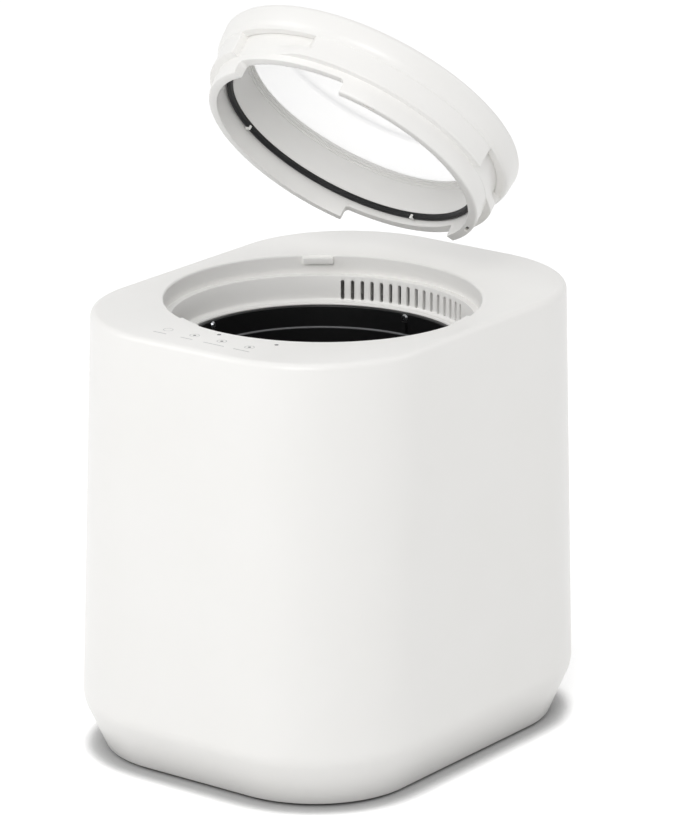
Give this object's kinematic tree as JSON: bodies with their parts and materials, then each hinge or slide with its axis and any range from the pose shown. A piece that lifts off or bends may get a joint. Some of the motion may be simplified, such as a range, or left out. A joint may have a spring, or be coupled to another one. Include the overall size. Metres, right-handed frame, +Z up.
{
  "type": "electric food waste composter",
  "caption": "Countertop electric food waste composter: rounded white housing, black stirring bucket in a vented well, twist-lock ring lid with a clear window, rear filter drawer.",
  "frame": {"origin": "centre of the housing's footprint, on the surface that it stands on", "axes": "+Z up, +Y towards the back, where the filter drawer and the power inlet are, and +X to the right of a person facing the front"},
  "size_m": [0.2544, 0.3234, 0.5056],
  "materials": {
    "white_plastic": "satin moulded",
    "grey_plastic": "moulded",
    "nonstick_aluminium": "satin non-stick coating",
    "cast_aluminium": "die-cast",
    "spun_aluminium": "spun",
    "steel": "turned",
    "screw_steel": "zinc plated",
    "brass": "turned",
    "acetal": "moulded gears",
    "dark_plastic": "glass-filled",
    "rubber": "soft",
    "felt": "fibre blanket",
    "element_sheath": "heat-tinted",
    "motor_can": "zinc plated",
    "circuit_board": "solder mask",
    "carbon": "carbon block in a frame",
    "clear_plastic": "clear polished",
    "magnet": "nickel plated"
  },
  "bodies": {
    "base": {"housing_shell": "white_plastic", "bottom_cover": "grey_plastic", "rubber_feet": "rubber", "bottom_cover_screws": "screw_steel", "throat_collar": "white_plastic", "collar_screws": "screw_steel", "well_liner": "spun_aluminium", "insulation_sleeve": "felt", "heater_plate": "cast_aluminium", "heating_element": "element_sheath", "temperature_sensor": "steel", "shaft_seal": "rubber", "gearbox_case": "dark_plastic", "gearbox_cover": "dark_plastic", "gearbox_screws": "screw_steel", "output_bushes": "brass", "cluster_axle": "steel", "drive_motor": "motor_can", "exhaust_duct": "grey_plastic", "fan_frame": "dark_plastic", "filter_sleeve": "grey_plastic", "power_inlet": "dark_plastic", "inlet_pins": "brass", "control_board": "circuit_board", "board_screws": "screw_steel", "touch_board": "circuit_board", "lid_sensor": "dark_plastic"},
    "bucket": {"bucket": "nonstick_aluminium", "bucket_wall_bars": "nonstick_aluminium", "bucket_rivets": "steel", "bucket_bush": "brass"},
    "rotor": {"bucket_shaft": "steel", "stirring_rotor": "cast_aluminium", "rotor_nut": "steel"},
    "output_drive": {"output_shaft": "steel", "output_gear": "acetal"},
    "cluster": {"cluster_gear": "acetal"},
    "motor_drive": {"motor_shaft": "steel", "motor_pinion": "brass"},
    "fan": {"fan_rotor": "dark_plastic"},
    "odour_drawer": {"filter_drawer": "white_plastic", "carbon_filter": "carbon"},
    "lid_inner": {"lid_frame": "white_plastic", "lid_window": "clear_plastic", "lid_gasket": "rubber", "gasket_clips": "white_plastic"},
    "lid_ring": {"lid_cap": "white_plastic", "lid_lock_ring": "white_plastic", "lid_magnets": "magnet"}
  },
  "joints": [
    {"name": "bucket_lift", "type": "slide", "parent": "base", "child": "bucket", "axis": [0, 0, 1], "range_m": [0, 0.19]},
    {"name": "rotor_spin", "type": "hinge", "parent": "bucket", "child": "rotor", "pos_m": [0, -0.0087, 0.14], "axis": [0, 0, 1], "continuous": true},
    {"name": "output_spin", "type": "hinge", "parent": "base", "child": "output_drive", "pos_m": [0, -0.0087, 0.09], "axis": [0, 0, 1], "continuous": true},
    {"name": "cluster_spin", "type": "hinge", "parent": "base", "child": "cluster", "pos_m": [-0.04933, -0.02666, 0.075], "axis": [0, 0, 1], "continuous": true},
    {"name": "motor_spin", "type": "hinge", "parent": "base", "child": "motor_drive", "pos_m": [-0.03134, -0.04811, 0.07], "axis": [0, 0, 1], "continuous": true},
    {"name": "fan_spin", "type": "hinge", "parent": "base", "child": "fan", "pos_m": [0, 0.1255, 0.18], "axis": [0, 0, 1], "continuous": true},
    {"name": "odour_drawer_slide", "type": "slide", "parent": "base", "child": "odour_drawer", "axis": [0, 1, 0], "range_m": [0, 0.05]},
    {"name": "lid_swing", "type": "hinge", "parent": "bucket", "child": "lid_inner", "pos_m": [0, 0.1397, 0.3127], "axis": [-1, 0, 0], "range_deg": [-46.1, 0]},
    {"name": "lid_twist", "type": "hinge", "parent": "lid_inner", "child": "lid_ring", "pos_m": [0, 0.02181, 0.40521], "axis": [0, 0.7206, 0.6934], "range_deg": [-22, 0]}
  ],
  "couplings": [
    {"joint": "output_spin", "follows": "rotor_spin", "ratio": 1},
    {"joint": "cluster_spin", "follows": "rotor_spin", "ratio": -4},
    {"joint": "motor_spin", "follows": "rotor_spin", "ratio": 12}
  ]
}
